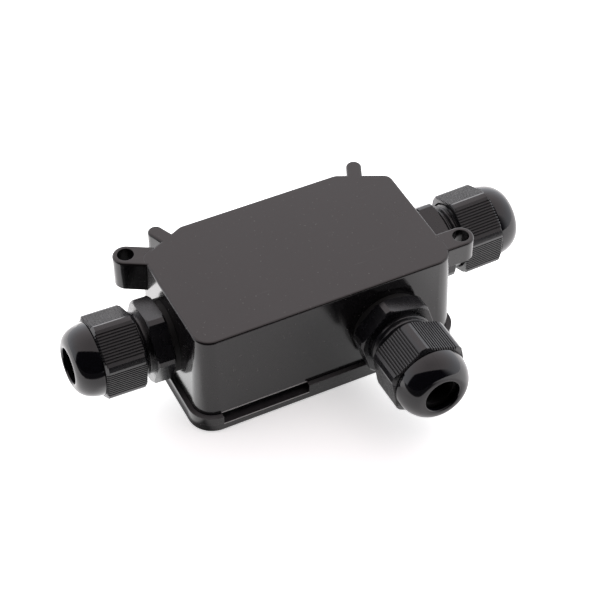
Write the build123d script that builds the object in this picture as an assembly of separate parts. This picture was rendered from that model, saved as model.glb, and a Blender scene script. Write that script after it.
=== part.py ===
from build123d import *
import os
from math import cos, radians, sin, tan

# A waterproof junction box for outdoor cables, in millimetres, lying with its lid down.
# X runs along the box, Y to its back, Z up. The origin is on the lid's outer face, under the box centre.

# Box shell
plate_length = 68.4         # back plate, along X
plate_width = 40.1          # back plate, along Y
box_height = 29.1           # lid's outer face to the back plate's outer face
plate_thickness = 2.4
wall = 2.3
draft = 1.9                 # degrees, each wall leans out towards the lid
front_corner_radius = 4.4
chamfer_run = 12.6          # back corners, along X
chamfer_depth = 6.0         # back corners, along Y
chamfer_radius = 2.6
plate_edge_radius = 0.6

# Lid
lid_floor = 2.4
lid_rim_height = 4.6
lid_rim_wall = 1.8
lid_gap = 0.15              # between the lid's rim and the housing's tongue
lid_edge_radius = 0.5
tongue_step = 0.75          # how far the housing's wall steps in behind the rim
shoulder_gap = 0.2          # between the rim and the wall above it
pry_slot_centre = -18.0     # in the rim's front edge, along X
pry_slot_length = 23.0

# Sealing rib and gasket
rib_wall = 1.5
rib_root = 0.6              # how deep the rib reaches into the wall
rib_height = 1.8
gasket_groove = 0.6
gasket_thickness = 1.4
gasket_play = 0.15

# Lid screws and their posts
post_radius = 3.0
post_front_inset = (3.4, 4.35)      # from the plate's end and front
post_back_inset = (10.8, 5.65)      # from the plate's end and back
screw_radius = 1.5
screw_length = 12.0
screw_head_radius = 2.8
screw_head_height = 1.4
screw_recess = 0.15
screw_tip_taper = 0.75
screw_play = 0.1
pilot_play = 0.05
pilot_extra = 2.0
cross_width = 0.7
cross_length = 3.0
cross_depth = 1.0

# Mounting lugs and blind fins outside
lug_radius = 3.3
lug_hole_radius = 2.1
lug_left_offset = (3.3, 3.45)       # out from the left end, in from the back
lug_left_turn = 150.0       # degrees, the way the lug points
lug_left_depth = 8.6
lug_right_offset = (5.0, 6.25)      # out from the right end, in from the front
lug_right_turn = 0.0
lug_right_depth = 5.8
fin_radius = 2.0
fin_offset = (6.6, 1.05)            # in from each end, out from the back
fin_turn = 66.0
fin_depth = 20.5
root_length = 6.6

# Glands, each square to its drafted wall and measured along its own axis from the wall outwards
gland_rise = 0.55           # axis above the box's middle height, where it meets the wall
gland_front_x = 15.6
thread_radius = 7.6         # fixing thread through the wall
thread_play = 0.15
thread_length = 8.6
washer_thickness = 1.6
washer_radius = 9.3
washer_play = 0.05
hex_flats = 19.0
hex_thickness = 4.8
hex_chamfer = 0.5
hex_corner_radius = 10.6   # both hexagons have their corners turned round
base_turn = {"left": -22.0, "right": -15.0, "front": 17.0}
barrel_radius = 8.2         # thread that carries the dome nut
barrel_length = 9.4
barrel_chamfer = 0.3
neck_radius = 7.8
neck_length = 1.0
cable_way_radius = 5.2
locknut_flats = 19.0
locknut_thickness = 4.4
locknut_turn = 30.0
nut_play = 0.1
tight_gap = 2.4             # from the base to the dome nut when it is tight
nut_gap = {"left": 2.4, "right": 3.6, "front": 4.8}
nut_turn = {"left": -5.0, "right": 5.0, "front": 9.0}
nut_hex_length = 10.4
nut_dome_length = 6.3
nut_dome_radius = 9.3
nut_dome_chamfer = 0.6      # turned edge between the hexagon and the dome
nut_dome_step = 0.3         # the hexagon's end stands out from the dome by this
nut_edge_radius = 0.45      # rounding of the cable opening's edge
nut_opening = 4.5
nut_lip_depth = 1.2
nut_thread_runout = 0.4
nut_dome_inner = 8.1
ribs_per_flat = 11
rib_pitch = 0.73
rib_depth = 0.3
rib_groove_top = 0.38
rib_groove_floor = 0.16
claw_radius = 7.6
claw_inner = 6.4
claw_ring = 1.4
claw_length = 6.5
claw_tip_radius = 7.1
claw_tip_inner = 6.1
claw_pairs = 4
claw_slot = 0.8
seal_bore = 4.1
seal_play = 0.1
seal_straight = 3.6
seal_length = 7.2
seal_tip_radius = 5.4

# Terminal block, hung from the back plate with its screws towards the lid
poles = 3
pole_pitch = 11.6
block_x = -4.0
block_y = 4.6
pole_width = 7.0
pole_length = 18.0
pole_depth = 8.4
tower_radius = 3.1
tower_depth = 4.0
tower_bore = 2.2
web_thickness = 3.0
web_width = 9.0
stand_radius = 2.6
stand_height = 2.5
clamp_side = 5.4
clamp_length = 16.0
clamp_bore = 1.7
clamp_bore_offset = 0.3     # towards the back plate, away from the screws
clamp_play = 0.1
clamp_cover = 1.2           # plastic over the clamps
clamp_screw_radius = 1.3
clamp_screw_play = 0.05
clamp_screw_head = 2.0
clamp_screw_head_depth = 1.8
clamp_screw_travel = 2.5
clamp_screw_spacing = 9.2
driver_slot_width = 0.6
driver_slot_depth = 0.8
fixing_radius = 1.2
fixing_hole_play = 0.2
fixing_head = 2.1
fixing_head_depth = 1.4
fixing_length = 6.0
fixing_pilot = 3.6

half_length = plate_length / 2
half_width = plate_width / 2
post_front = (half_length - post_front_inset[0], post_front_inset[1] - half_width)
post_back = (half_length - post_back_inset[0], half_width - post_back_inset[1])
lug_left = (-half_length - lug_left_offset[0], half_width - lug_left_offset[1])
lug_right = (half_length + lug_right_offset[0], lug_right_offset[1] - half_width)
fin_centre = (half_length - fin_offset[0], half_width + fin_offset[1])
gland_height = box_height / 2 + gland_rise
slope = tan(radians(draft))
plate_inner = box_height - plate_thickness
tongue_end = lid_floor - gasket_groove + gasket_thickness
shoulder = lid_rim_height + shoulder_gap
hex_end = washer_thickness + hex_thickness
barrel_end = hex_end + barrel_length
inner_face = -wall * cos(radians(draft))   # where a locknut seats, along its gland's axis
block_top = plate_inner - stand_height
clamp_middle = block_top - clamp_cover - clamp_play - clamp_side / 2
hex_corner = hex_flats / 2 / cos(radians(30))
reach = 2 * box_height      # longer than anything that it cuts


def lean(z):
    """How far the walls have leaned out at height z."""
    return (box_height - z) * slope


def plan(grow=0.0):
    """The box's outline at the back plate, seen from above, larger all round by grow."""
    x, y = half_length, half_width
    points = [
        (-x, -y), (x, -y), (x, y - chamfer_depth), (x - chamfer_run, y),
        (chamfer_run - x, y), (-x, y - chamfer_depth),
    ]
    face = make_face(Polyline(*points, close=True))
    front = [v for v in face.vertices() if v.Y < 0]
    face = fillet(front, front_corner_radius)
    back = [v for v in face.vertices() if v.Y > y - chamfer_depth - 1e-3]
    face = fillet(back, chamfer_radius)
    if grow:
        face = offset(face, grow, kind=Kind.INTERSECTION)
    return face


def rod(radius, start, length):
    """A cylinder along Z from start."""
    return Pos(0, 0, start) * Cylinder(radius, length, align=(Align.CENTER, Align.CENTER, Align.MIN))


def ring(outer, inner, start, length):
    return rod(outer, start, length) - rod(inner, start, length)


def block(x_size, y_size, top, depth):
    """A box that hangs down by depth from the height top."""
    return Pos(0, 0, top) * Box(x_size, y_size, depth, align=(Align.CENTER, Align.CENTER, Align.MAX))


def turned(*points):
    """A solid of revolution about Z from (radius, height) points."""
    return revolve(Plane.XZ * make_face(Polyline(*points, close=True)), Axis.Z)


def barrel_blank(radius, length, edge):
    """A cylinder from Z 0 with both ends chamfered by edge."""
    small = radius - edge
    return turned((0, 0), (small, 0), (radius, edge), (radius, length - edge), (small, length), (0, length))


def hexagon(flats, length):
    """A hexagonal prism from Z 0 with its corners turned off at both ends."""
    corner = flats / 2 / cos(radians(30))
    turned_corner = corner * hex_corner_radius / hex_corner
    return extrude(RegularPolygon(corner, 6), length) & barrel_blank(turned_corner, length, hex_chamfer)


def arm(centre, turn, radius, depth):
    """A round-ended arm down from the back plate's level, which points the way turn says."""
    face = Circle(radius) + Pos(-root_length / 2, 0) * Rectangle(root_length, 2 * radius)
    return extrude(Pos(*centre, box_height) * Rot(0, 0, turn) * face, -depth)


def post_places():
    return [(side * x, y) for x, y in (post_front, post_back) for side in (-1, 1)]


def gland_frames():
    """Where each gland seats on its wall: local Z points out, square to the wall, and local X up along it."""
    out = lean(gland_height)
    rise = cos(radians(draft))
    tip = sin(radians(draft))
    walls = {
        "left": (-1, 0, half_length, 0),
        "right": (1, 0, half_length, 0),
        "front": (0, -1, half_width, gland_front_x),
    }
    frames = {}
    for name, (x, y, half, shift) in walls.items():
        seat = (x * (half + out) + shift, y * (half + out), gland_height)
        frames[name] = Plane(seat, x_dir=(-x * tip, -y * tip, rise), z_dir=(x * rise, y * rise, tip))
    return frames


def pole_places():
    return [block_x + (i - (poles - 1) / 2) * pole_pitch for i in range(poles)]


def gap_places():
    """Between the poles, where the block is screwed down."""
    places = pole_places()
    return [(a + b) / 2 for a, b in zip(places, places[1:])]


def clamp_screw_places():
    return [(x, block_y + side * clamp_screw_spacing / 2) for x in pole_places() for side in (-1, 1)]


def seal_band(outer, inner, start, length):
    """A ring along the walls and round the posts, between two offsets of the cavity's outline."""
    inside = plan(lean(tongue_end) - wall)
    for x, y in post_places():
        inside -= Pos(x, y) * Circle(post_radius)
    band = offset(inside, outer) if outer else inside
    band -= offset(inside, inner)
    return extrude(Pos(0, 0, start) * band, length)


def make_housing():
    """The housing and its two mounting lugs, which are moulded on but kept as pieces of their own."""
    blank = extrude(Pos(0, 0, box_height) * plan(), box_height - tongue_end, dir=(0, 0, -1), taper=-draft)
    shell = blank + arm(lug_left, lug_left_turn, lug_radius, lug_left_depth)
    shell += arm(lug_right, lug_right_turn, lug_radius, lug_right_depth)
    shell += arm(fin_centre, fin_turn, fin_radius, fin_depth)
    shell += arm((-fin_centre[0], fin_centre[1]), 180 - fin_turn, fin_radius, fin_depth)
    shell = fillet(shell.faces().sort_by(Axis.Z)[-1].edges(), plate_edge_radius)

    # The lugs, cut off along the wall
    outside = shell - blank
    lugs = [outside & Pos(*place) * rod(2 * lug_radius, 0, reach) for place in (lug_left, lug_right)]
    for i, place in enumerate((lug_left, lug_right)):
        shell -= lugs[i]
        lugs[i] -= Pos(*place) * rod(lug_hole_radius, 0, reach)

    # Outside: the tongue behind the lid's rim
    tongue = extrude(plan(lean(shoulder) - tongue_step), shoulder)
    shell -= extrude(plan(reach), shoulder) - tongue

    # Inside: the cavity, the sealing rib at its mouth, screw posts and stands
    mouth = Pos(0, 0, plate_inner) * plan(lean(plate_inner) - wall)
    shell -= extrude(mouth, plate_inner, dir=(0, 0, -1), taper=-draft)
    shell += seal_band(rib_root, -rib_wall, tongue_end, rib_height)
    for x, y in post_places():
        shell += Pos(x, y) * rod(post_radius, lid_floor, plate_inner - lid_floor)
    for x in gap_places():
        shell += Pos(x, block_y) * rod(stand_radius, block_top, stand_height)

    # Holes
    for frame in gland_frames().values():
        shell -= frame * rod(thread_radius + thread_play, -thread_length, reach)
    for x, y in post_places():
        shell -= Pos(x, y) * rod(screw_radius + pilot_play, 0, screw_recess + screw_length + pilot_extra)
    for x in gap_places():
        shell -= Pos(x, block_y) * rod(fixing_radius + pilot_play, block_top, fixing_pilot)
    return shell, *lugs


def screw_profile(play):
    """Countersunk head and shank from the lid's outer face, wider by play."""
    head = screw_head_radius + play
    shank = screw_radius + play
    seat = screw_recess + screw_head_height
    return [(0, screw_recess), (head, screw_recess), (shank, seat)]


def make_lid():
    inner = lean(shoulder) - tongue_step + lid_gap
    lid = extrude(plan(inner + lid_rim_wall), lid_rim_height)
    lid = fillet(lid.faces().sort_by(Axis.Z)[0].edges(), lid_edge_radius)
    lid -= extrude(Pos(0, 0, lid_floor) * plan(inner), lid_rim_height)
    lid -= seal_band(gasket_play, -rib_wall - gasket_play, lid_floor - gasket_groove, gasket_groove)
    for x, y in post_places():
        seat = turned(*screw_profile(screw_play), (0, screw_recess + screw_head_height))
        lid -= Pos(x, y) * seat
        lid -= Pos(x, y) * rod(screw_head_radius + screw_play, 0, screw_recess)
        lid -= Pos(x, y) * rod(screw_radius + screw_play, 0, lid_floor)
    rim_middle = -half_width - inner - lid_rim_wall / 2
    slot = block(pry_slot_length, wall, reach, reach - lid_floor)
    return lid - Pos(pry_slot_centre, rim_middle) * slot


def make_gasket():
    return seal_band(0, -rib_wall, tongue_end - gasket_thickness, gasket_thickness)


def make_lid_screw():
    tip = screw_recess + screw_length
    small = screw_radius - screw_tip_taper
    screw = turned(*screw_profile(0), (screw_radius, tip - screw_tip_taper), (small, tip), (0, tip))
    for turn in (0, 90):
        arm_cut = Pos(0, 0, screw_recess) * Box(
            cross_length, cross_width, cross_depth, align=(Align.CENTER, Align.CENTER, Align.MIN)
        )
        screw -= Rot(0, 0, turn) * arm_cut
    return screw


def make_gland_body(turn):
    body = rod(thread_radius, -thread_length, thread_length + hex_end)
    body += Pos(0, 0, washer_thickness) * Rot(0, 0, turn) * hexagon(hex_flats, hex_thickness)
    body += rod(neck_radius, hex_end, neck_length)
    barrel = barrel_blank(barrel_radius, barrel_length - neck_length, barrel_chamfer)
    body += Pos(0, 0, hex_end + neck_length) * barrel
    return body - rod(cable_way_radius, -thread_length, thread_length + barrel_end)


def make_washer():
    return ring(washer_radius, thread_radius + washer_play, 0, washer_thickness)


def make_locknut():
    nut = Pos(0, 0, inner_face - locknut_thickness) * Rot(0, 0, locknut_turn) * hexagon(locknut_flats, locknut_thickness)
    return nut - rod(thread_radius + nut_play, inner_face - locknut_thickness, locknut_thickness)


def ribbed_outline():
    """The dome nut's hexagon with fine grooves along each flat."""
    flat = hex_flats / 2
    corner = flat * tan(radians(30))
    points = []
    for side in range(6):
        turn = radians(30 + 60 * side)
        steps = [(-corner, flat)]
        for i in range(ribs_per_flat):
            middle = (i - (ribs_per_flat - 1) / 2) * rib_pitch
            steps.append((middle - rib_groove_top / 2, flat))
            steps.append((middle - rib_groove_floor / 2, flat - rib_depth))
            steps.append((middle + rib_groove_floor / 2, flat - rib_depth))
            steps.append((middle + rib_groove_top / 2, flat))
        points += [(r * cos(turn) - t * sin(turn), r * sin(turn) + t * cos(turn)) for t, r in steps]
    return make_face(Polyline(*points, close=True))


def dome_profile(radius, lip, start, length, *rest):
    """A quarter ellipse from radius at start to lip at start plus length, closed through rest."""
    curve = EllipticalCenterArc((lip, start), radius - lip, length, start_angle=0, arc_size=90)
    line = Polyline((lip, start + length), *rest, (radius, start))
    return revolve(Plane.XZ * make_face(curve + line), Axis.Z)


def make_nut():
    """The ribbed dome nut, its back face at Z 0."""
    top = nut_hex_length + nut_dome_length
    nut = extrude(ribbed_outline(), nut_hex_length)
    end = nut_dome_radius + nut_dome_step
    nut &= turned(
        (0, 0), (hex_corner_radius - hex_chamfer, 0), (hex_corner_radius, hex_chamfer),
        (hex_corner_radius, nut_hex_length - nut_dome_chamfer), (end, nut_hex_length), (0, nut_hex_length),
    )
    lip = nut_opening + nut_edge_radius
    nut += dome_profile(nut_dome_radius, lip, nut_hex_length, nut_dome_length, (0, top), (0, nut_hex_length))
    thread_end = nut_hex_length - nut_thread_runout
    nut -= rod(barrel_radius + nut_play, 0, thread_end)
    inside = nut_dome_length - nut_lip_depth
    nut -= rod(nut_dome_inner, thread_end, nut_thread_runout)
    nut -= dome_profile(
        nut_dome_inner, nut_opening, nut_hex_length, inside,
        (nut_opening, top), (0, top), (0, nut_hex_length),
    )
    return nut


def make_claws():
    """The slotted clamping ring, from the barrel's end at Z 0."""
    claws = turned(
        (claw_inner, 0), (claw_radius, 0), (claw_radius, claw_ring), (claw_tip_radius, claw_length),
        (claw_tip_inner, claw_length), (claw_inner, seal_straight),
    )
    for i in range(claw_pairs):
        slot = Box(3 * claw_radius, claw_slot, claw_length, align=(Align.CENTER, Align.CENTER, Align.MIN))
        claws -= Pos(0, 0, claw_ring) * Rot(0, 0, 180 * i / claw_pairs) * slot
    return claws


def make_seal():
    """The rubber sleeve inside the claws, from the barrel's end at Z 0."""
    outer = claw_inner - seal_play
    return turned(
        (seal_bore, 0), (outer, 0), (outer, seal_straight), (seal_tip_radius, seal_length), (seal_bore, seal_length)
    )


def make_terminal_block():
    length = pole_pitch * (poles - 1) + pole_width
    body = Pos(block_x, block_y) * block(length, web_width, block_top, web_thickness)
    for x in pole_places():
        body += Pos(x, block_y) * block(pole_width, pole_length, block_top, pole_depth)
    for x, y in clamp_screw_places():
        body += Pos(x, y) * rod(tower_radius, block_top - pole_depth - tower_depth, tower_depth)
    channel = clamp_side + 2 * clamp_play
    for x in pole_places():
        body -= Pos(x, block_y) * block(channel, pole_length, block_top - clamp_cover, channel)
    for x, y in clamp_screw_places():
        body -= Pos(x, y) * rod(tower_bore, 0, block_top - clamp_cover - channel / 2)
    for x in gap_places():
        body -= Pos(x, block_y) * rod(fixing_radius + fixing_hole_play, 0, block_top)
    return body


def make_clamp(x):
    top = clamp_middle + clamp_side / 2
    clamp = Pos(x, block_y) * block(clamp_side, clamp_length, top, clamp_side)
    bore = Rot(90, 0, 0) * Cylinder(clamp_bore, clamp_length)
    clamp -= Pos(x, block_y, clamp_middle + clamp_bore_offset) * bore
    for sx, y in clamp_screw_places():
        if sx == x:
            clamp -= Pos(x, y) * rod(clamp_screw_radius + clamp_screw_play, 0, clamp_middle)
    return clamp


def make_clamp_screw():
    """A slotted clamp screw in its open place, its tip just out of the wire's way."""
    tip = clamp_middle + clamp_bore_offset - clamp_bore
    seat = clamp_middle - clamp_side / 2 - clamp_screw_travel
    screw = rod(clamp_screw_radius, seat, tip - seat)
    end = seat - clamp_screw_head_depth
    screw += rod(clamp_screw_head, end, clamp_screw_head_depth)
    return screw - block(reach, driver_slot_width, end + driver_slot_depth, driver_slot_depth)


def make_fixing_screw():
    seat = block_top - web_thickness
    screw = rod(fixing_radius, seat, fixing_length)
    end = seat - fixing_head_depth
    screw += rod(fixing_head, end, fixing_head_depth)
    return screw - block(reach, driver_slot_width, end + driver_slot_depth, driver_slot_depth)


def build():
    """Every sub-part in its place, by name."""
    housing, left_lug, right_lug = make_housing()
    parts = {"housing": housing, "mounting_lug_left": left_lug, "mounting_lug_right": right_lug}
    parts["lid"] = make_lid()
    parts["lid_gasket"] = make_gasket()
    for i, place in enumerate(post_places(), 1):
        parts[f"lid_screw_{i}"] = Pos(*place) * make_lid_screw()
    nut = make_nut()
    for name, frame in gland_frames().items():
        parts[f"{name}_gland_body"] = frame * make_gland_body(base_turn[name])
        parts[f"{name}_gland_washer"] = frame * make_washer()
        parts[f"{name}_gland_locknut"] = frame * make_locknut()
        lift = nut_gap[name] - tight_gap
        parts[f"{name}_gland_claws"] = frame * (Pos(0, 0, barrel_end + lift) * make_claws())
        parts[f"{name}_gland_seal"] = frame * (Pos(0, 0, barrel_end + lift) * make_seal())
        back = hex_end + nut_gap[name]
        parts[f"{name}_gland_nut"] = frame * (Pos(0, 0, back) * Rot(0, 0, nut_turn[name]) * nut)
    parts["terminal_block"] = make_terminal_block()
    for i, x in enumerate(pole_places(), 1):
        parts[f"terminal_clamp_{i}"] = make_clamp(x)
    for i, place in enumerate(clamp_screw_places(), 1):
        parts[f"terminal_screw_{i}"] = Pos(*place) * make_clamp_screw()
    for i, x in enumerate(gap_places(), 1):
        parts[f"fixing_screw_{i}"] = Pos(x, block_y) * make_fixing_screw()
    return parts


os.makedirs("parts", exist_ok=True)
for name, shape in build().items():
    export_step(shape, f"parts/{name}.step")
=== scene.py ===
from math import acos, atan2, cos, hypot, pi, radians, sin, sqrt, tan

import bpy
from mathutils import Matrix, Vector


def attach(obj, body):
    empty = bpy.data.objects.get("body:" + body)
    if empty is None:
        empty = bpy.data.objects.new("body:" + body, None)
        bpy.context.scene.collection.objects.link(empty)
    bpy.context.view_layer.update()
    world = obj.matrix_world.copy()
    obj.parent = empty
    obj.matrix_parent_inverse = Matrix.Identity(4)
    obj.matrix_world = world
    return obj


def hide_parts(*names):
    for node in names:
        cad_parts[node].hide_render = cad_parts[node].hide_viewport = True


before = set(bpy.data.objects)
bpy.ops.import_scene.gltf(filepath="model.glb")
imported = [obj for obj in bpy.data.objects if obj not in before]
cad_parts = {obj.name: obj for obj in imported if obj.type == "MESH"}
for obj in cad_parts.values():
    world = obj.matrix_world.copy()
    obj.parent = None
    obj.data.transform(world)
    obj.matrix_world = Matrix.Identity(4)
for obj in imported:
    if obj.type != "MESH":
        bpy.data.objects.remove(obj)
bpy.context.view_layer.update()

MM = 0.001

# Camera
CAMERA_PLACE = Vector((-0.1417, -0.29055, 0.33894))
CAMERA_FORWARD = Vector((0.3112, 0.6300, -0.7116))
SENSOR = 36.0
FOCAL_PIXELS = 1829.6
IMAGE_SIZE = 600

# Box walls, lid and gland places, as in the frame's solids
DRAFT = radians(1.9)
BOX_HEIGHT = 29.1 * MM
HALF_LENGTH = 34.2 * MM
HALF_WIDTH = 20.05 * MM
GLAND_HEIGHT = 15.1 * MM
GLAND_FRONT_X = 15.6 * MM
LID_FLOOR = 2.4 * MM
LID_RIM = 4.6 * MM
SHOULDER = 4.8 * MM
SLOT_START = -29.5 * MM
SLOT_END = -6.5 * MM

# Gland bodies, along their own axes from the wall outwards
FIXING_RADIUS = 7.6 * MM
FIXING_LENGTH = 8.6 * MM
FIXING_END_RADIUS = 7.1 * MM
FIXING_LEAD = 0.3 * MM
FIXING_PAST_WALL = 0.2 * MM
WASHER = 1.6 * MM
HEX_FLATS = 19.0 * MM
HEX_THICKNESS = 4.8 * MM
HEX_CORNER = 10.6 * MM
HEX_CHAMFER = 0.5 * MM
HEX_SOFT = 0.08 * MM
HEX_END = WASHER + HEX_THICKNESS
NECK_RADIUS = 7.75 * MM
NECK_LENGTH = 0.9 * MM
NECK_STEP = 0.1 * MM
BARREL_RADIUS = 8.2 * MM
BARREL_LENGTH = 9.4 * MM
BARREL_CHAMFER = 0.3 * MM
BARREL_END = HEX_END + BARREL_LENGTH
CABLE_WAY = 5.2 * MM
BASE_TURN = {"left": -22.0, "right": -15.0, "front": 17.0}

# Threads: a tooth's height is SLOPE times the way from the groove's middle less ROOT, within 0 and 1
THREAD_PITCH = 1.5 * MM
THREAD_DEPTH = 0.62 * MM
THREAD_SLOPE = 1.6
THREAD_ROOT = 0.2
THREAD_RINGS = 12
THREAD_RUN_OUT = 4

# Dome nuts, from their back outwards
NUT_GAP = {"left": 2.4 * MM, "right": 3.6 * MM, "front": 4.8 * MM}
NUT_TURN = {"left": -5.0, "right": 5.0, "front": 9.0}
NUT_THREAD = 8.35 * MM
NUT_THREAD_CHAMFER = 0.35 * MM
NUT_THREAD_START = 0.9 * MM
NUT_HEX_LENGTH = 10.4 * MM
NUT_BACK_SOFT = 0.1 * MM
NUT_BACK_SINK = 0.12 * MM
NUT_BACK_CUT = 0.03 * MM
NUT_CHAMFER = 0.6 * MM
NUT_CHAMFER_END = 9.6 * MM
NUT_FRONT_SINK = 0.26 * MM
NUT_FRONT_CUT = 0.45 * MM
NUT_CUT_SLOPE = 0.55
NUT_LIP_DEPTH = 1.2 * MM
NUT_STEP_BACK = 0.4 * MM
NUT_OPENING = 4.5 * MM
DOME_RADIUS = 9.3 * MM
DOME_LENGTH = 6.3 * MM
DOME_INNER = 8.1 * MM
DOME_FOOT = ((9.16 * MM, 0.02 * MM), (9.24 * MM, 0.12 * MM))
LIP_ROUND = 0.45 * MM

# Ribs on the nuts' flats
RIBS = 11
RIB_PITCH = 0.73 * MM
RIB_DEPTH = 0.3 * MM
RIB_TOP = 0.38 * MM
RIB_FLOOR = 0.16 * MM
RIB_SOFT = 0.03 * MM
RIB_SHOULDER = 0.12 * RIB_DEPTH
GROOVE_START = 0.1 * RIB_DEPTH
GROOVE_FIRST_RING = 3

# Places of a nut's materials beside the first, which is the hexagon's
DOME_MATERIAL = 1
# The grooves' material is darker: painted shade in the grooves
SHADED_GROOVE_MATERIAL = 2

# Steps round and along the turned shapes
CHAMFER_STEPS = 4
CORNER_STEPS = 16
FLAT_STEPS = 4
NUT_CORNER_STEPS = 4
DOME_STEPS = 44
INSIDE_STEPS = 12
LIP_STEPS = 6
SHARP_ANGLE = radians(16.0)

# Nodes: the sockets of a Mix node that carry colours and numbers, and the bevel's samples
MIX_COLOURS = (6, 7)
MIX_COLOUR_OUT = 2
MIX_NUMBERS = (2, 3)
MIX_NUMBER_OUT = 0
BEVEL_SAMPLES = 6

# Marks and roughness of the box: places, parts of the noise, strength
PLATE_FADE = (28.75 * MM, 29.05 * MM)
LEDGE_HALF = 0.05 * MM
EDGE_WIDTH = 0.35 * MM
EDGE_GAP = 0.06 * MM
FRONT_DEPTH = 1.0 * MM
BAND_SOFT = 0.03 * MM
MARK_RANGE = (0.70, 0.76)
CLOUD_RANGE = (0.3, 0.7)
SPECK_PART = 0.45
SCRATCH_PART = 0.25
WALL_ROUGHNESS = (0.12, 0.18)
PLATE_ROUGHNESS = (0.27, 0.36)
DUST_AND_HIGHLIGHT_ROUGHNESS = 0.3
WALL_GRAIN = 0.25

# Colours of the box, pairs from dark to light
WALL_TONES = ((0.004, 0.0035, 0.004), (0.009, 0.0085, 0.009))
PLATE_TONES = ((0.011, 0.0085, 0.0085), (0.019, 0.0155, 0.0155))
SPECK_TONE = (0.13, 0.125, 0.12)
SCRATCH_TONE = (0.07, 0.068, 0.066)
# Painted highlights on the ledges in the pry slot and at the lid's rim
SLOT_LEDGE_HIGHLIGHT = (0.038, 0.036, 0.038)
RIM_LEDGE_HIGHLIGHT = (0.085, 0.083, 0.085)
# Painted highlight along the pry slot's edges
EDGE_HIGHLIGHT_TONE = (0.30, 0.29, 0.29)

# Floor: each mirrored part has a low and a high place and the values there
FLOOR_HALF = 1.5
FLOOR_TONES = ((0.90, 0.90, 0.90), (0.92, 0.92, 0.92))
BLACK = (0.0, 0.0, 0.0)
WHITE = (1.0, 1.0, 1.0, 1.0)
NEAR_SIDE = (-0.443, -0.896, 0.0)
# Painted shade on the floor: dark past the near side, and a painted contact shadow at the left foot
NEAR_SHADE_FADE = (80.0 * MM, 90.0 * MM, 0.0, 0.97)
NEAR_SHADE_LEFT = (15.0 * MM, 45.0 * MM, 1.0, 0.0)
FOOT_SHADOW_START = (-37.8 * MM, -37.1 * MM, 0.0, 1.0)
FOOT_SHADOW_END = (-34.0 * MM, -30.0 * MM, 1.0, 0.0)
FOOT_SHADOW_DEPTH = (-24.0 * MM, -22.0 * MM, 0.0, 0.85)
# Painted light: the floor's glow by direction, with more of it left of the box and less in front of
# its right half
GLOW = (0.3, 0.9, 1.25, 0.5)
LEFT_START = (-60.0 * MM, -52.0 * MM, 0.0, 1.0)
LEFT_END = (-34.0 * MM, -30.0 * MM, 1.0, 0.0)
LEFT_GAIN = (-24.0 * MM, -16.0 * MM, 0.0, 0.85)
RIGHT_START = (12.0 * MM, 24.0 * MM, 0.0, 1.0)
RIGHT_END = (38.0 * MM, 46.0 * MM, 1.0, 0.0)
RIGHT_LOSS = (-26.0 * MM, -20.0 * MM, -0.45, 0.0)

# Light tent: azimuths in degrees from +X, with the fade of the opening's two sides
BRIGHT_AZIMUTH = 70.0
TENT_LEVEL = 0.95
TENT_GLOW = 1.05
TENT_FALL = 0.6
OPENING_LEFT = (262.0, -0.03, 0.07)
OPENING_RIGHT = (215.0, -0.35, 0.17)
OPENING_TOP = (1.05, 2.16, 1.0)
OPENING_TOP_FADE = (-0.06, 0.06)
OPENING_DARK = 0.985
TINT_RANGE = (0.2, 0.9)
TINTS = ((0.97, 0.98, 1.03), (1.05, 0.955, 0.965))


def gland_matrix(name):
    """From a gland's own axes (Z out of the wall, X up along it) to the box."""
    x, y, half, shift = {
        "left": (-1, 0, HALF_LENGTH, 0),
        "right": (1, 0, HALF_LENGTH, 0),
        "front": (0, -1, HALF_WIDTH, GLAND_FRONT_X),
    }[name]
    out = half + (BOX_HEIGHT - GLAND_HEIGHT) * tan(DRAFT)
    seat = Vector((x * out + shift, y * out, GLAND_HEIGHT))
    up = Vector((-x * sin(DRAFT), -y * sin(DRAFT), cos(DRAFT)))
    axis = Vector((x * cos(DRAFT), y * cos(DRAFT), sin(DRAFT)))
    side = axis.cross(up)
    matrix = Matrix((up, side, axis)).transposed().to_4x4()
    matrix.translation = seat
    return matrix


# Rings and meshes

def loft(name, rings, matrix):
    """A closed tube of rings, each a list of points, whose last ring joins its first."""
    count = len(rings[0])
    points = [matrix @ Vector(p) for ring in rings for p in ring]
    faces = []
    for i in range(len(rings)):
        a = i * count
        b = (i + 1) % len(rings) * count
        for j in range(count):
            k = (j + 1) % count
            faces.append((a + j, a + k, b + k, b + j))
    mesh = bpy.data.meshes.new(name)
    mesh.from_pydata(points, [], faces)
    mesh.validate()
    mesh.shade_smooth()
    mesh.set_sharp_from_angle(angle=SHARP_ANGLE)
    piece = bpy.data.objects.new(name, mesh)
    bpy.context.collection.objects.link(piece)
    return piece


def circle(angles, radius, height):
    return [(radius * cos(a), radius * sin(a), height) for a in angles]


def hexagon_radius(angle, flat, turn):
    """From the axis to a hexagon's side at an angle."""
    local = (angle - turn) % (pi / 3) - pi / 6
    return flat / cos(local)


def hexagon_ring(angles, flat, corner, turn, height):
    radii = [min(hexagon_radius(a, flat, turn), corner) for a in angles]
    return [(r * cos(a), r * sin(a), height) for a, r in zip(angles, radii)]


def hexagon_angles(turn, corner, flat):
    """Angles round a hexagon with one at each end of every turned corner."""
    half = pi / 6
    edge = min(half, acos(flat / corner))
    angles = []
    for side in range(6):
        middle = turn + half + side * 2 * half
        angles += [middle - edge + 2 * edge * i / CORNER_STEPS for i in range(CORNER_STEPS)]
        angles += [middle + edge + 2 * (half - edge) * i / FLAT_STEPS for i in range(FLAT_STEPS)]
    return angles


def thread_ring(angles, crest, height, start, fade):
    """One ring of a helical thread."""
    ring = []
    for a in angles:
        turn = ((height - start) / THREAD_PITCH - a / (2 * pi)) % 1.0
        tooth = min(1.0, max(0.0, THREAD_SLOPE * abs(2 * turn - 1) - THREAD_ROOT))
        depth = THREAD_DEPTH * (1 - tooth) * fade
        r = crest - depth
        ring.append((r * cos(a), r * sin(a), height))
    return ring


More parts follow.
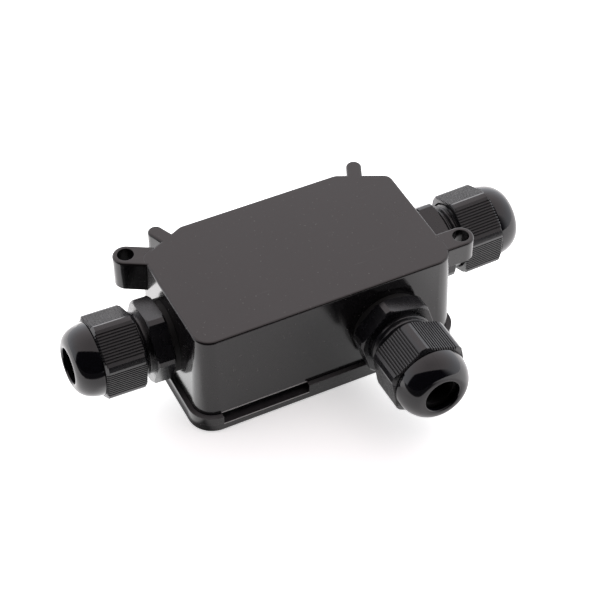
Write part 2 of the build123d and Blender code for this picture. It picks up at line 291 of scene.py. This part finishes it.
def thread_rings(angles, crest, start, end):
    """A helical thread that runs out over a short length at both ends."""
    steps = int(round((end - start) / THREAD_PITCH * THREAD_RINGS))
    rings = []
    for i in range(steps + 1):
        height = start + (end - start) * i / steps
        fade = min(1.0, i / THREAD_RUN_OUT, (steps - i) / THREAD_RUN_OUT)
        rings.append(thread_ring(angles, crest, height, start, fade))
    return rings


# Gland bodies

def fixing_thread(angles):
    rings = [circle(angles, CABLE_WAY, -FIXING_LENGTH)]
    rings.append(circle(angles, FIXING_END_RADIUS, -FIXING_LENGTH))
    rings += thread_rings(angles, FIXING_RADIUS, -FIXING_LENGTH + FIXING_LEAD, FIXING_PAST_WALL)
    rings.append(circle(angles, FIXING_RADIUS - THREAD_DEPTH, WASHER))
    return rings


def hexagon_base(angles, turn):
    """The spanner hexagon with its turned corners."""
    flat = HEX_FLATS / 2
    inner = HEX_CORNER - HEX_CHAMFER
    rings = [hexagon_ring(angles, flat - 2 * HEX_SOFT, inner, turn, WASHER)]
    rings.append(hexagon_ring(angles, flat, inner + HEX_SOFT, turn, WASHER + HEX_SOFT))
    for i in range(1, CHAMFER_STEPS + 1):
        step = HEX_CHAMFER * i / CHAMFER_STEPS
        rings.append(hexagon_ring(angles, flat, inner + step, turn, WASHER + step))
    for i in range(CHAMFER_STEPS, 0, -1):
        step = HEX_CHAMFER * i / CHAMFER_STEPS
        rings.append(hexagon_ring(angles, flat, inner + step, turn, HEX_END - step))
    rings.append(hexagon_ring(angles, flat, inner + HEX_SOFT, turn, HEX_END - HEX_SOFT))
    rings.append(hexagon_ring(angles, flat - 2 * HEX_SOFT, inner - HEX_SOFT, turn, HEX_END))
    return rings


def barrel(angles):
    """Neck, nut thread and the mouth of the cable way."""
    neck_end = HEX_END + NECK_LENGTH
    mouth = BARREL_END - BARREL_CHAMFER
    rings = [circle(angles, NECK_RADIUS, HEX_END), circle(angles, NECK_RADIUS, neck_end)]
    rings += thread_rings(angles, BARREL_RADIUS, neck_end + NECK_STEP, mouth)
    rings.append(circle(angles, BARREL_RADIUS - THREAD_DEPTH, BARREL_END))
    rings.append(circle(angles, CABLE_WAY + BARREL_CHAMFER, BARREL_END))
    rings.append(circle(angles, CABLE_WAY, mouth))
    return rings


def gland_body(name):
    turn = radians(BASE_TURN[name])
    angles = hexagon_angles(turn, HEX_CORNER, HEX_FLATS / 2)
    rings = fixing_thread(angles) + hexagon_base(angles, turn) + barrel(angles)
    rings.reverse()
    return loft(f"{name}_gland_body_dressed", rings, gland_matrix(name))


# Dome nuts

def rib_table():
    """(position across a flat, depth below it) for one ribbed flat, corner to corner."""
    flat = HEX_FLATS / 2
    corner = sqrt(HEX_CORNER ** 2 - flat ** 2)
    top = RIB_TOP / 2
    floor = RIB_FLOOR / 2
    table = [(-corner, 0.0)]
    for i in range(RIBS):
        middle = (i - (RIBS - 1) / 2) * RIB_PITCH
        table.append((middle - top - RIB_SOFT, 0.0))
        table.append((middle - top + RIB_SOFT, RIB_SHOULDER))
        table.append((middle - floor, RIB_DEPTH))
        table.append((middle + floor, RIB_DEPTH))
        table.append((middle + top - RIB_SOFT, RIB_SHOULDER))
        table.append((middle + top + RIB_SOFT, 0.0))
    table.append((corner, 0.0))
    return table


def nut_outline(turn):
    """Angle and radius round the ribbed hexagon, and the radius without its ribs."""
    flat = HEX_FLATS / 2
    table = rib_table()
    edge = atan2(table[-1][0], flat)
    gap = radians(60) - 2 * edge
    outline = []
    for side in range(6):
        base = turn + radians(30 + 60 * side)
        for t, depth in table:
            outline.append((base + atan2(t, flat - depth), hypot(t, flat - depth), hypot(t, flat)))
        for i in range(1, NUT_CORNER_STEPS):
            outline.append((base + edge + gap * i / NUT_CORNER_STEPS, HEX_CORNER, HEX_CORNER))
    return outline


def ribbed_ring(outline, height, corner, shrink=0.0):
    """The ribbed hexagon within a round corner limit."""
    ring = []
    for a, ribbed, plain in outline:
        r = min(ribbed - shrink, corner)
        ring.append((r * cos(a), r * sin(a), height))
    return ring


def nut_back(outline, angles):
    """The thread's mouth and the hexagon's back edge."""
    inner = HEX_CORNER - HEX_CHAMFER
    rings = [
        circle(angles, NUT_THREAD, NUT_THREAD_START),
        circle(angles, NUT_THREAD + NUT_THREAD_CHAMFER, 0.0),
        ribbed_ring(outline, 0.0, inner - NUT_BACK_SOFT, NUT_BACK_SINK),
        ribbed_ring(outline, HEX_SOFT, inner, NUT_BACK_CUT),
    ]
    for i in range(1, CHAMFER_STEPS + 1):
        step = HEX_CHAMFER * i / CHAMFER_STEPS
        rings.append(ribbed_ring(outline, step, inner + step))
    return rings


def nut_front(outline):
    """The turned edge between the hexagon and the dome."""
    slant = (HEX_CORNER - NUT_CHAMFER_END) / NUT_CHAMFER
    rings = []
    for i in range(CHAMFER_STEPS, 0, -1):
        step = NUT_CHAMFER * i / CHAMFER_STEPS
        cut = max(0.0, NUT_FRONT_CUT - step) * NUT_CUT_SLOPE
        corner = NUT_CHAMFER_END + step * slant
        rings.append(ribbed_ring(outline, NUT_HEX_LENGTH - step, corner, cut))
    rings.append(ribbed_ring(outline, NUT_HEX_LENGTH, NUT_CHAMFER_END, NUT_FRONT_SINK))
    return rings


def nut_dome(angles):
    """The dome's foot, its round and the rounded lip of its opening."""
    lip = NUT_OPENING + LIP_ROUND
    top = NUT_HEX_LENGTH + DOME_LENGTH
    rings = [circle(angles, radius, NUT_HEX_LENGTH + height) for radius, height in DOME_FOOT]
    for i in range(1, DOME_STEPS):
        a = pi / 2 * i / DOME_STEPS
        radius = lip + (DOME_RADIUS - lip) * cos(a)
        rings.append(circle(angles, radius, NUT_HEX_LENGTH + DOME_LENGTH * sin(a)))
    for i in range(LIP_STEPS + 1):
        a = pi / 2 * i / LIP_STEPS
        rings.append(circle(angles, lip - LIP_ROUND * sin(a), top - LIP_ROUND * (1 - cos(a))))
    return rings


def nut_inside(angles):
    """The hollow of the dome, down to the thread."""
    depth = DOME_LENGTH - NUT_LIP_DEPTH
    rings = [circle(angles, NUT_OPENING, NUT_HEX_LENGTH + depth)]
    for i in range(INSIDE_STEPS - 1, -1, -1):
        a = pi / 2 * i / INSIDE_STEPS
        radius = NUT_OPENING + (DOME_INNER - NUT_OPENING) * cos(a)
        rings.append(circle(angles, radius, NUT_HEX_LENGTH + depth * sin(a)))
    foot = NUT_HEX_LENGTH - NUT_STEP_BACK
    rings.append(circle(angles, DOME_INNER, foot))
    rings.append(circle(angles, NUT_THREAD, foot))
    return rings


def share_nut_faces(piece, outline, last):
    """The dome's material past the hexagon's last ring, within it the grooves' darker material,
    which is painted shade.
    """
    count = len(outline)
    depths = [plain - ribbed for a, ribbed, plain in outline]
    grooved = [max(depths[j], depths[(j + 1) % count]) > GROOVE_START for j in range(count)]
    for polygon in piece.data.polygons:
        ring, j = divmod(polygon.index, count)
        if ring > last:
            polygon.material_index = DOME_MATERIAL
        elif ring >= GROOVE_FIRST_RING and grooved[j]:
            polygon.material_index = SHADED_GROOVE_MATERIAL


def nut(name):
    outline = nut_outline(radians(NUT_TURN[name]))
    angles = [a for a, ribbed, plain in outline]
    back = nut_back(outline, angles)
    front = nut_front(outline)
    rings = back + front + nut_dome(angles) + nut_inside(angles)
    matrix = gland_matrix(name) @ Matrix.Translation((0, 0, HEX_END + NUT_GAP[name]))
    piece = loft(f"{name}_gland_nut_dressed", rings, matrix)
    share_nut_faces(piece, outline, len(back) + len(front) - 1)
    return piece


# Node trees

class Tree:
    """Short calls for the nodes of one tree. Most give the new node's output."""

    def __init__(self, tree):
        self.tree = tree
        self.tree.nodes.clear()

    def add(self, kind, **values):
        node = self.tree.nodes.new(kind)
        for key, value in values.items():
            setattr(node, key, value)
        return node

    def feed(self, socket, value):
        """A socket takes the output of a node, or a plain value."""
        if isinstance(value, bpy.types.NodeSocket):
            self.tree.links.new(value, socket)
        else:
            socket.default_value = value

    def ramp(self, value, low, high, start, end, smooth=False):
        """A value mapped from low..high to start..end, clamped."""
        node = self.add("ShaderNodeMapRange")
        if smooth:
            node.interpolation_type = "SMOOTHSTEP"
        self.feed(node.inputs["Value"], value)
        self.feed(node.inputs["From Min"], low)
        self.feed(node.inputs["From Max"], high)
        self.feed(node.inputs["To Min"], start)
        self.feed(node.inputs["To Max"], end)
        return node.outputs["Result"]

    def math(self, operation, a, b, c=0.0):
        node = self.add("ShaderNodeMath", operation=operation)
        for socket, value in zip(node.inputs, (a, b, c)):
            self.feed(socket, value)
        return node.outputs[0]

    def product(self, first, *others):
        for other in others:
            first = self.math("MULTIPLY", first, other)
        return first

    def invert(self, part):
        """What a part leaves of one."""
        return self.math("SUBTRACT", 1.0, part)

    def dot(self, vector, direction):
        node = self.add("ShaderNodeVectorMath", operation="DOT_PRODUCT")
        self.feed(node.inputs[0], vector)
        self.feed(node.inputs[1], direction)
        return node.outputs["Value"]

    def unit(self, vector):
        node = self.add("ShaderNodeVectorMath", operation="NORMALIZE")
        self.feed(node.inputs[0], vector)
        return node.outputs[0]

    def parts(self, vector):
        node = self.add("ShaderNodeSeparateXYZ")
        self.feed(node.inputs["Vector"], vector)
        return node.outputs["X"], node.outputs["Y"], node.outputs["Z"]

    def mix(self, factor, a, b):
        """A colour between two, each an output or its red, green and blue."""
        node = self.add("ShaderNodeMix", data_type="RGBA")
        self.feed(node.inputs[0], factor)
        for i, value in zip(MIX_COLOURS, (a, b)):
            self.feed(node.inputs[i], (*value, 1.0) if isinstance(value, tuple) else value)
        return node.outputs[MIX_COLOUR_OUT]

    def between(self, factor, a, b):
        """A number between two."""
        node = self.add("ShaderNodeMix", data_type="FLOAT")
        self.feed(node.inputs[0], factor)
        for i, value in zip(MIX_NUMBERS, (a, b)):
            self.feed(node.inputs[i], value)
        return node.outputs[MIX_NUMBER_OUT]

    def band(self, value, low, high):
        """1 from low to high, 0 outside, with thin soft edges."""
        start = self.ramp(value, low - BAND_SOFT, low, 0.0, 1.0)
        end = self.ramp(value, high, high + BAND_SOFT, 1.0, 0.0)
        return self.product(start, end)


class Surface(Tree):
    """A material on the object's own coordinates. Values go to its shader's sockets."""

    def __init__(self, name, **values):
        self.material = bpy.data.materials.new(name)
        self.material.use_nodes = True
        super().__init__(self.material.node_tree)
        output = self.add("ShaderNodeOutputMaterial")
        self.shader = self.add("ShaderNodeBsdfPrincipled")
        self.feed(output.inputs["Surface"], self.shader.outputs["BSDF"])
        self.place = self.add("ShaderNodeTexCoord").outputs["Object"]
        for key, value in values.items():
            self.shader.inputs[key.replace("_", " ")].default_value = value

    def set(self, **values):
        """Outputs that vary over the surface go to the shader's sockets."""
        for key, value in values.items():
            self.feed(self.shader.inputs[key.replace("_", " ")], value)

    def noise(self, scale, detail, rough, stretch=None):
        node = self.add("ShaderNodeTexNoise")
        node.inputs["Scale"].default_value = scale
        node.inputs["Detail"].default_value = detail
        node.inputs["Roughness"].default_value = rough
        place = self.place
        if stretch:
            mapping = self.add("ShaderNodeMapping")
            mapping.inputs["Scale"].default_value = stretch
            self.feed(mapping.inputs["Vector"], place)
            place = mapping.outputs["Vector"]
        self.feed(node.inputs["Vector"], place)
        return node.outputs["Fac"]

    def cloudy(self, cloud, tones, rough):
        """Colour and roughness that drift slowly between two ends."""
        self.set(Base_Color=self.mix(cloud, *tones))
        self.set(Roughness=self.ramp(cloud, *CLOUD_RANGE, *rough))

    def relief(self, height, strength, depth, soften=0.0):
        """Bump from a height, over edges softened by a small radius."""
        node = self.add("ShaderNodeBump")
        node.inputs["Strength"].default_value = strength
        node.inputs["Distance"].default_value = depth
        self.feed(node.inputs["Height"], height)
        if soften:
            edge = self.add("ShaderNodeBevel", samples=BEVEL_SAMPLES)
            edge.inputs["Radius"].default_value = soften
            self.feed(node.inputs["Normal"], edge.outputs["Normal"])
        self.set(Normal=node.outputs["Normal"])


# Materials

def box_marks(n, tone, speck):
    """Dust specks and a few fine scratches over a tone."""
    scratches = n.noise(scale=900.0, detail=2.0, rough=0.6, stretch=(0.06, 1.6, 1.0))
    scratch = n.ramp(scratches, *MARK_RANGE, 0.0, 1.0)
    tone = n.mix(n.product(speck, SPECK_PART), tone, SPECK_TONE)
    return n.mix(n.product(scratch, SCRATCH_PART), tone, SCRATCH_TONE)


def slot_edge_highlights(n, x, y, z):
    """Painted highlights along the edges above and below the pry slot."""
    upper = n.band(z, SHOULDER, SHOULDER + EDGE_WIDTH)
    lower = n.band(z, LID_FLOOR - EDGE_WIDTH, LID_FLOOR - EDGE_GAP)
    along = n.band(x, SLOT_START, SLOT_END)
    in_front = n.ramp(y, -HALF_WIDTH, -HALF_WIDTH + FRONT_DEPTH, 1.0, 0.0)
    return n.product(n.math("MAXIMUM", upper, lower), n.product(along, in_front))


def box_plastic():
    """Black moulded plastic: glossy walls, a finely grained back plate with dust specks, and painted
    highlights on the ledges and along the pry slot's edges.
    """
    n = Surface("box_plastic", IOR=1.5)
    x, y, z = n.parts(n.place)
    plate = n.ramp(z, *PLATE_FADE, 0.0, 1.0)
    rim_ledge = n.band(z, LID_RIM - LEDGE_HALF, LID_RIM + LEDGE_HALF)
    slot_ledge = n.band(z, LID_FLOOR - LEDGE_HALF, LID_FLOOR + LEDGE_HALF)
    edge_highlights = slot_edge_highlights(n, x, y, z)
    cloud = n.noise(scale=55.0, detail=4.0, rough=0.6)
    speck = n.ramp(n.noise(scale=1300.0, detail=1.5, rough=0.55), *MARK_RANGE, 0.0, 1.0)

    tone = n.mix(plate, n.mix(cloud, *WALL_TONES), n.mix(cloud, *PLATE_TONES))
    tone = box_marks(n, tone, speck)
    # Lighter ledges at the rim and in the slot: painted highlight
    ledge_highlight = n.mix(rim_ledge, SLOT_LEDGE_HIGHLIGHT, RIM_LEDGE_HIGHLIGHT)
    tone = n.mix(n.math("MAXIMUM", rim_ledge, slot_ledge), tone, ledge_highlight)
    # Painted highlight along the pry slot's edges over the tone
    n.set(Base_Color=n.mix(edge_highlights, tone, EDGE_HIGHLIGHT_TONE))

    wall_rough = n.ramp(cloud, *CLOUD_RANGE, *WALL_ROUGHNESS)
    plate_rough = n.ramp(cloud, *CLOUD_RANGE, *PLATE_ROUGHNESS)
    # More roughness on the dust specks and on the painted highlights
    dust_and_highlight = n.math("MAXIMUM", speck, n.math("MAXIMUM", rim_ledge, edge_highlights))
    rough = n.between(plate, wall_rough, plate_rough)
    n.set(Roughness=n.math("MULTIPLY_ADD", dust_and_highlight, DUST_AND_HIGHLIGHT_ROUGHNESS, rough))

    grain = n.math("MULTIPLY_ADD", plate, 1.0 - WALL_GRAIN, WALL_GRAIN)
    fine = n.noise(scale=2600.0, detail=3.0, rough=0.6)
    n.relief(n.product(fine, grain), strength=0.35, depth=0.03 * MM, soften=0.22 * MM)
    return n.material


def gland_nylon():
    """Black nylon with a faint blue cast, smooth and glossy."""
    n = Surface("gland_nylon", IOR=1.53)
    cloud = n.noise(scale=140.0, detail=3.0, rough=0.55)
    n.cloudy(cloud, tones=((0.002, 0.002, 0.003), (0.004, 0.004, 0.006)), rough=(0.05, 0.09))
    fine = n.noise(scale=3200.0, detail=2.0, rough=0.5)
    n.relief(fine, strength=0.04, depth=0.02 * MM)
    return n.material


def ribbed_nylon():
    """The same nylon where fingers and spanners rub it: duller and a little greyer."""
    n = Surface("ribbed_nylon", IOR=1.53)
    cloud = n.noise(scale=220.0, detail=4.0, rough=0.6)
    n.cloudy(cloud, tones=((0.004, 0.004, 0.005), (0.009, 0.009, 0.011)), rough=(0.22, 0.32))
    fine = n.noise(scale=3600.0, detail=3.0, rough=0.6)
    n.relief(fine, strength=0.1, depth=0.03 * MM)
    return n.material


def shaded_groove_nylon():
    """The nylon deep in the grip's grooves: matt, and darker than the ribs as painted shade in the
    grooves.
    """
    n = Surface("shaded_groove_nylon", IOR=1.4)
    cloud = n.noise(scale=220.0, detail=4.0, rough=0.6)
    # Tones darker than the ribbed nylon's: painted shade in the grooves
    n.cloudy(cloud, tones=((0.003, 0.003, 0.004), (0.007, 0.007, 0.008)), rough=(0.35, 0.45))
    fine = n.noise(scale=3600.0, detail=3.0, rough=0.6)
    n.relief(fine, strength=0.1, depth=0.02 * MM)
    return n.material


def rubber():
    """Matt black rubber of the seals, washers and gasket."""
    n = Surface("rubber", IOR=1.45)
    cloud = n.noise(scale=300.0, detail=4.0, rough=0.6)
    n.cloudy(cloud, tones=((0.005, 0.005, 0.005), (0.011, 0.0105, 0.010)), rough=(0.55, 0.72))
    fine = n.noise(scale=2400.0, detail=3.0, rough=0.6)
    n.relief(fine, strength=0.12, depth=0.03 * MM, soften=0.12 * MM)
    return n.material


def block_nylon():
    """Natural white nylon of the terminal block."""
    n = Surface("block_nylon", IOR=1.5, Subsurface_Weight=0.15, Subsurface_Scale=0.8 * MM)
    cloud = n.noise(scale=160.0, detail=3.0, rough=0.5)
    n.cloudy(cloud, tones=((0.70, 0.68, 0.61), (0.80, 0.78, 0.72)), rough=(0.34, 0.46))
    fine = n.noise(scale=2200.0, detail=3.0, rough=0.6)
    n.relief(fine, strength=0.2, depth=0.03 * MM, soften=0.2 * MM)
    return n.material


def metal(name, tones, rough, stretch):
    """Turned metal with fine tool marks and slight tarnish."""
    n = Surface(name, Metallic=1.0)
    n.cloudy(n.noise(scale=260.0, detail=4.0, rough=0.6), tones, rough)
    marks = n.noise(scale=2600.0, detail=2.0, rough=0.5, stretch=stretch)
    n.relief(marks, strength=0.2, depth=0.02 * MM, soften=0.1 * MM)
    return n.material


def brass():
    tones = ((0.62, 0.44, 0.18), (0.78, 0.58, 0.28))
    return metal("brass", tones, rough=(0.24, 0.38), stretch=(1.0, 1.0, 6.0))


def zinc_steel():
    tones = ((0.52, 0.53, 0.54), (0.68, 0.69, 0.71))
    return metal("zinc_steel", tones, rough=(0.22, 0.36), stretch=(1.0, 1.0, 8.0))


# Dressing

def nodes_with(*words):
    return [o for name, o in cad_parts.items() if any(word in name for word in words)]


def dress(objects, material):
    """One material on each of the frame's objects."""
    for piece in objects:
        mesh = piece.data
        if not mesh.materials:
            mesh.materials.append(material)
        for i in range(len(mesh.materials)):
            mesh.materials[i] = material


def dress_nodes():
    box = [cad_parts["housing"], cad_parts["lid"]]
    dress(box + nodes_with("mounting_lug"), box_plastic())
    dress(nodes_with("gasket", "washer", "seal"), rubber())
    dress(nodes_with("locknut", "claws"), ribbed_nylon())
    dress([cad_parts["terminal_block"]], block_nylon())
    dress(nodes_with("terminal_clamp"), brass())
    dress(nodes_with("lid_screw", "terminal_screw", "fixing_screw"), zinc_steel())


def place_piece(piece, body, node, materials):
    """A piece that rides a body and stands for a node of the frame."""
    for material in materials:
        piece.data.materials.append(material)
    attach(piece, body)
    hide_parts(node)


def make_glands():
    ribbed = ribbed_nylon()
    nut_materials = (ribbed, gland_nylon(), shaded_groove_nylon())
    for name in ("left", "right", "front"):
        place_piece(gland_body(name), "box", f"{name}_gland_body", (ribbed,))
        place_piece(nut(name), f"{name}_nut", f"{name}_gland_nut", nut_materials)


# Studio

def floor_shade(n, x, y):
    """Painted shade on the floor: dark past a line on the near side, and a painted contact shadow at
    the left foot.
    """
    edge = n.ramp(n.dot(n.place, NEAR_SIDE), *NEAR_SHADE_FADE, smooth=True)
    near_shade = n.product(edge, n.ramp(x, *NEAR_SHADE_LEFT))
    foot = n.product(n.ramp(x, *FOOT_SHADOW_START), n.ramp(y, *FOOT_SHADOW_DEPTH), n.ramp(x, *FOOT_SHADOW_END))
    return n.math("MAXIMUM", foot, near_shade)


def floor_change(n, x, y):
    """More light mirrored left of the box, less in front of its right half."""
    left = n.product(n.ramp(x, *LEFT_START), n.ramp(x, *LEFT_END), n.ramp(y, *LEFT_GAIN))
    right = n.product(n.ramp(x, *RIGHT_START), n.ramp(y, *RIGHT_LOSS), n.ramp(x, *RIGHT_END))
    return n.math("ADD", left, right)


def floor_white():
    """White paper with a painted glow, brighter away from the near side. The masks, painted shade
    and painted light, are only for what the object mirrors.
    """
    n = Surface("floor_white", Roughness=0.6, Emission_Color=WHITE)
    x, y = n.parts(n.place)[:2]
    mirrored = n.invert(n.add("ShaderNodeLightPath").outputs["Is Camera Ray"])
    shade = n.product(floor_shade(n, x, y), mirrored)
    tone = n.mix(n.noise(scale=8.0, detail=2.0, rough=0.5), *FLOOR_TONES)
    n.set(Base_Color=n.mix(shade, tone, BLACK))
    glow = n.ramp(n.dot(n.unit(n.place), NEAR_SIDE), *GLOW, smooth=True)
    glow = n.math("ADD", glow, n.product(floor_change(n, x, y), mirrored))
    n.set(Emission_Strength=n.product(glow, n.invert(shade)))
    return n.material


def make_floor():
    mesh = bpy.data.meshes.new("floor")
    half = FLOOR_HALF
    corners = [(-half, -half, 0), (half, -half, 0), (half, half, 0), (-half, half, 0)]
    mesh.from_pydata(corners, [], [(0, 1, 2, 3)])
    mesh.materials.append(floor_white())
    floor = bpy.data.objects.new("floor", mesh)
    bpy.context.collection.objects.link(floor)


def tent_light(n, direction):
    """Bright behind and to the right and near the ground, with a dark opening in front."""
    z = n.parts(direction)[2]
    flat = n.add("ShaderNodeVectorMath", operation="MULTIPLY")
    n.feed(flat.inputs[0], direction)
    n.feed(flat.inputs[1], (1.0, 1.0, 0.0))
    level = n.unit(flat.outputs[0])

    def toward(azimuth):
        return n.dot(level, (cos(radians(azimuth)), sin(radians(azimuth)), 0.0))

    def side(azimuth, low, high):
        return n.ramp(toward(azimuth), low, high, 0.0, 1.0, smooth=True)

    turned = n.math("MULTIPLY_ADD", toward(BRIGHT_AZIMUTH), 0.5, 0.5)
    glow = n.product(turned, n.math("POWER", n.invert(z), TENT_FALL), TENT_GLOW)
    top = n.ramp(n.dot(direction, OPENING_TOP), *OPENING_TOP_FADE, 0.0, 1.0, smooth=True)
    opening = n.product(side(*OPENING_LEFT), side(*OPENING_RIGHT), n.invert(top))
    return n.product(n.math("ADD", glow, TENT_LEVEL), n.invert(n.product(opening, OPENING_DARK)))


def make_world():
    """A white tent, plain white where the camera sees it."""
    world = bpy.data.worlds.new("studio")
    world.use_nodes = True
    n = Tree(world.node_tree)
    output = n.add("ShaderNodeOutputWorld")
    background = n.add("ShaderNodeBackground")
    n.feed(output.inputs[0], background.outputs[0])
    direction = n.unit(n.add("ShaderNodeTexCoord").outputs["Generated"])
    seen = n.add("ShaderNodeLightPath").outputs["Is Camera Ray"]
    n.feed(background.inputs["Strength"], n.between(seen, tent_light(n, direction), 1.0))
    height = n.parts(direction)[2]
    high = n.ramp(height, *TINT_RANGE, 0.0, 1.0, smooth=True)
    n.feed(background.inputs["Color"], n.mix(high, *TINTS))
    bpy.context.scene.world = world


def make_camera():
    data = bpy.data.cameras.new("camera")
    data.sensor_width = SENSOR
    data.lens = FOCAL_PIXELS / IMAGE_SIZE * SENSOR
    data.clip_start = 10.0 * MM
    camera = bpy.data.objects.new("camera", data)
    bpy.context.collection.objects.link(camera)
    camera.rotation_mode = "QUATERNION"
    camera.rotation_quaternion = CAMERA_FORWARD.normalized().to_track_quat("-Z", "Y")
    camera.location = CAMERA_PLACE
    bpy.context.scene.camera = camera


bpy.context.scene.view_settings.view_transform = "Standard"
make_camera()
make_world()
make_floor()
dress_nodes()
make_glands()
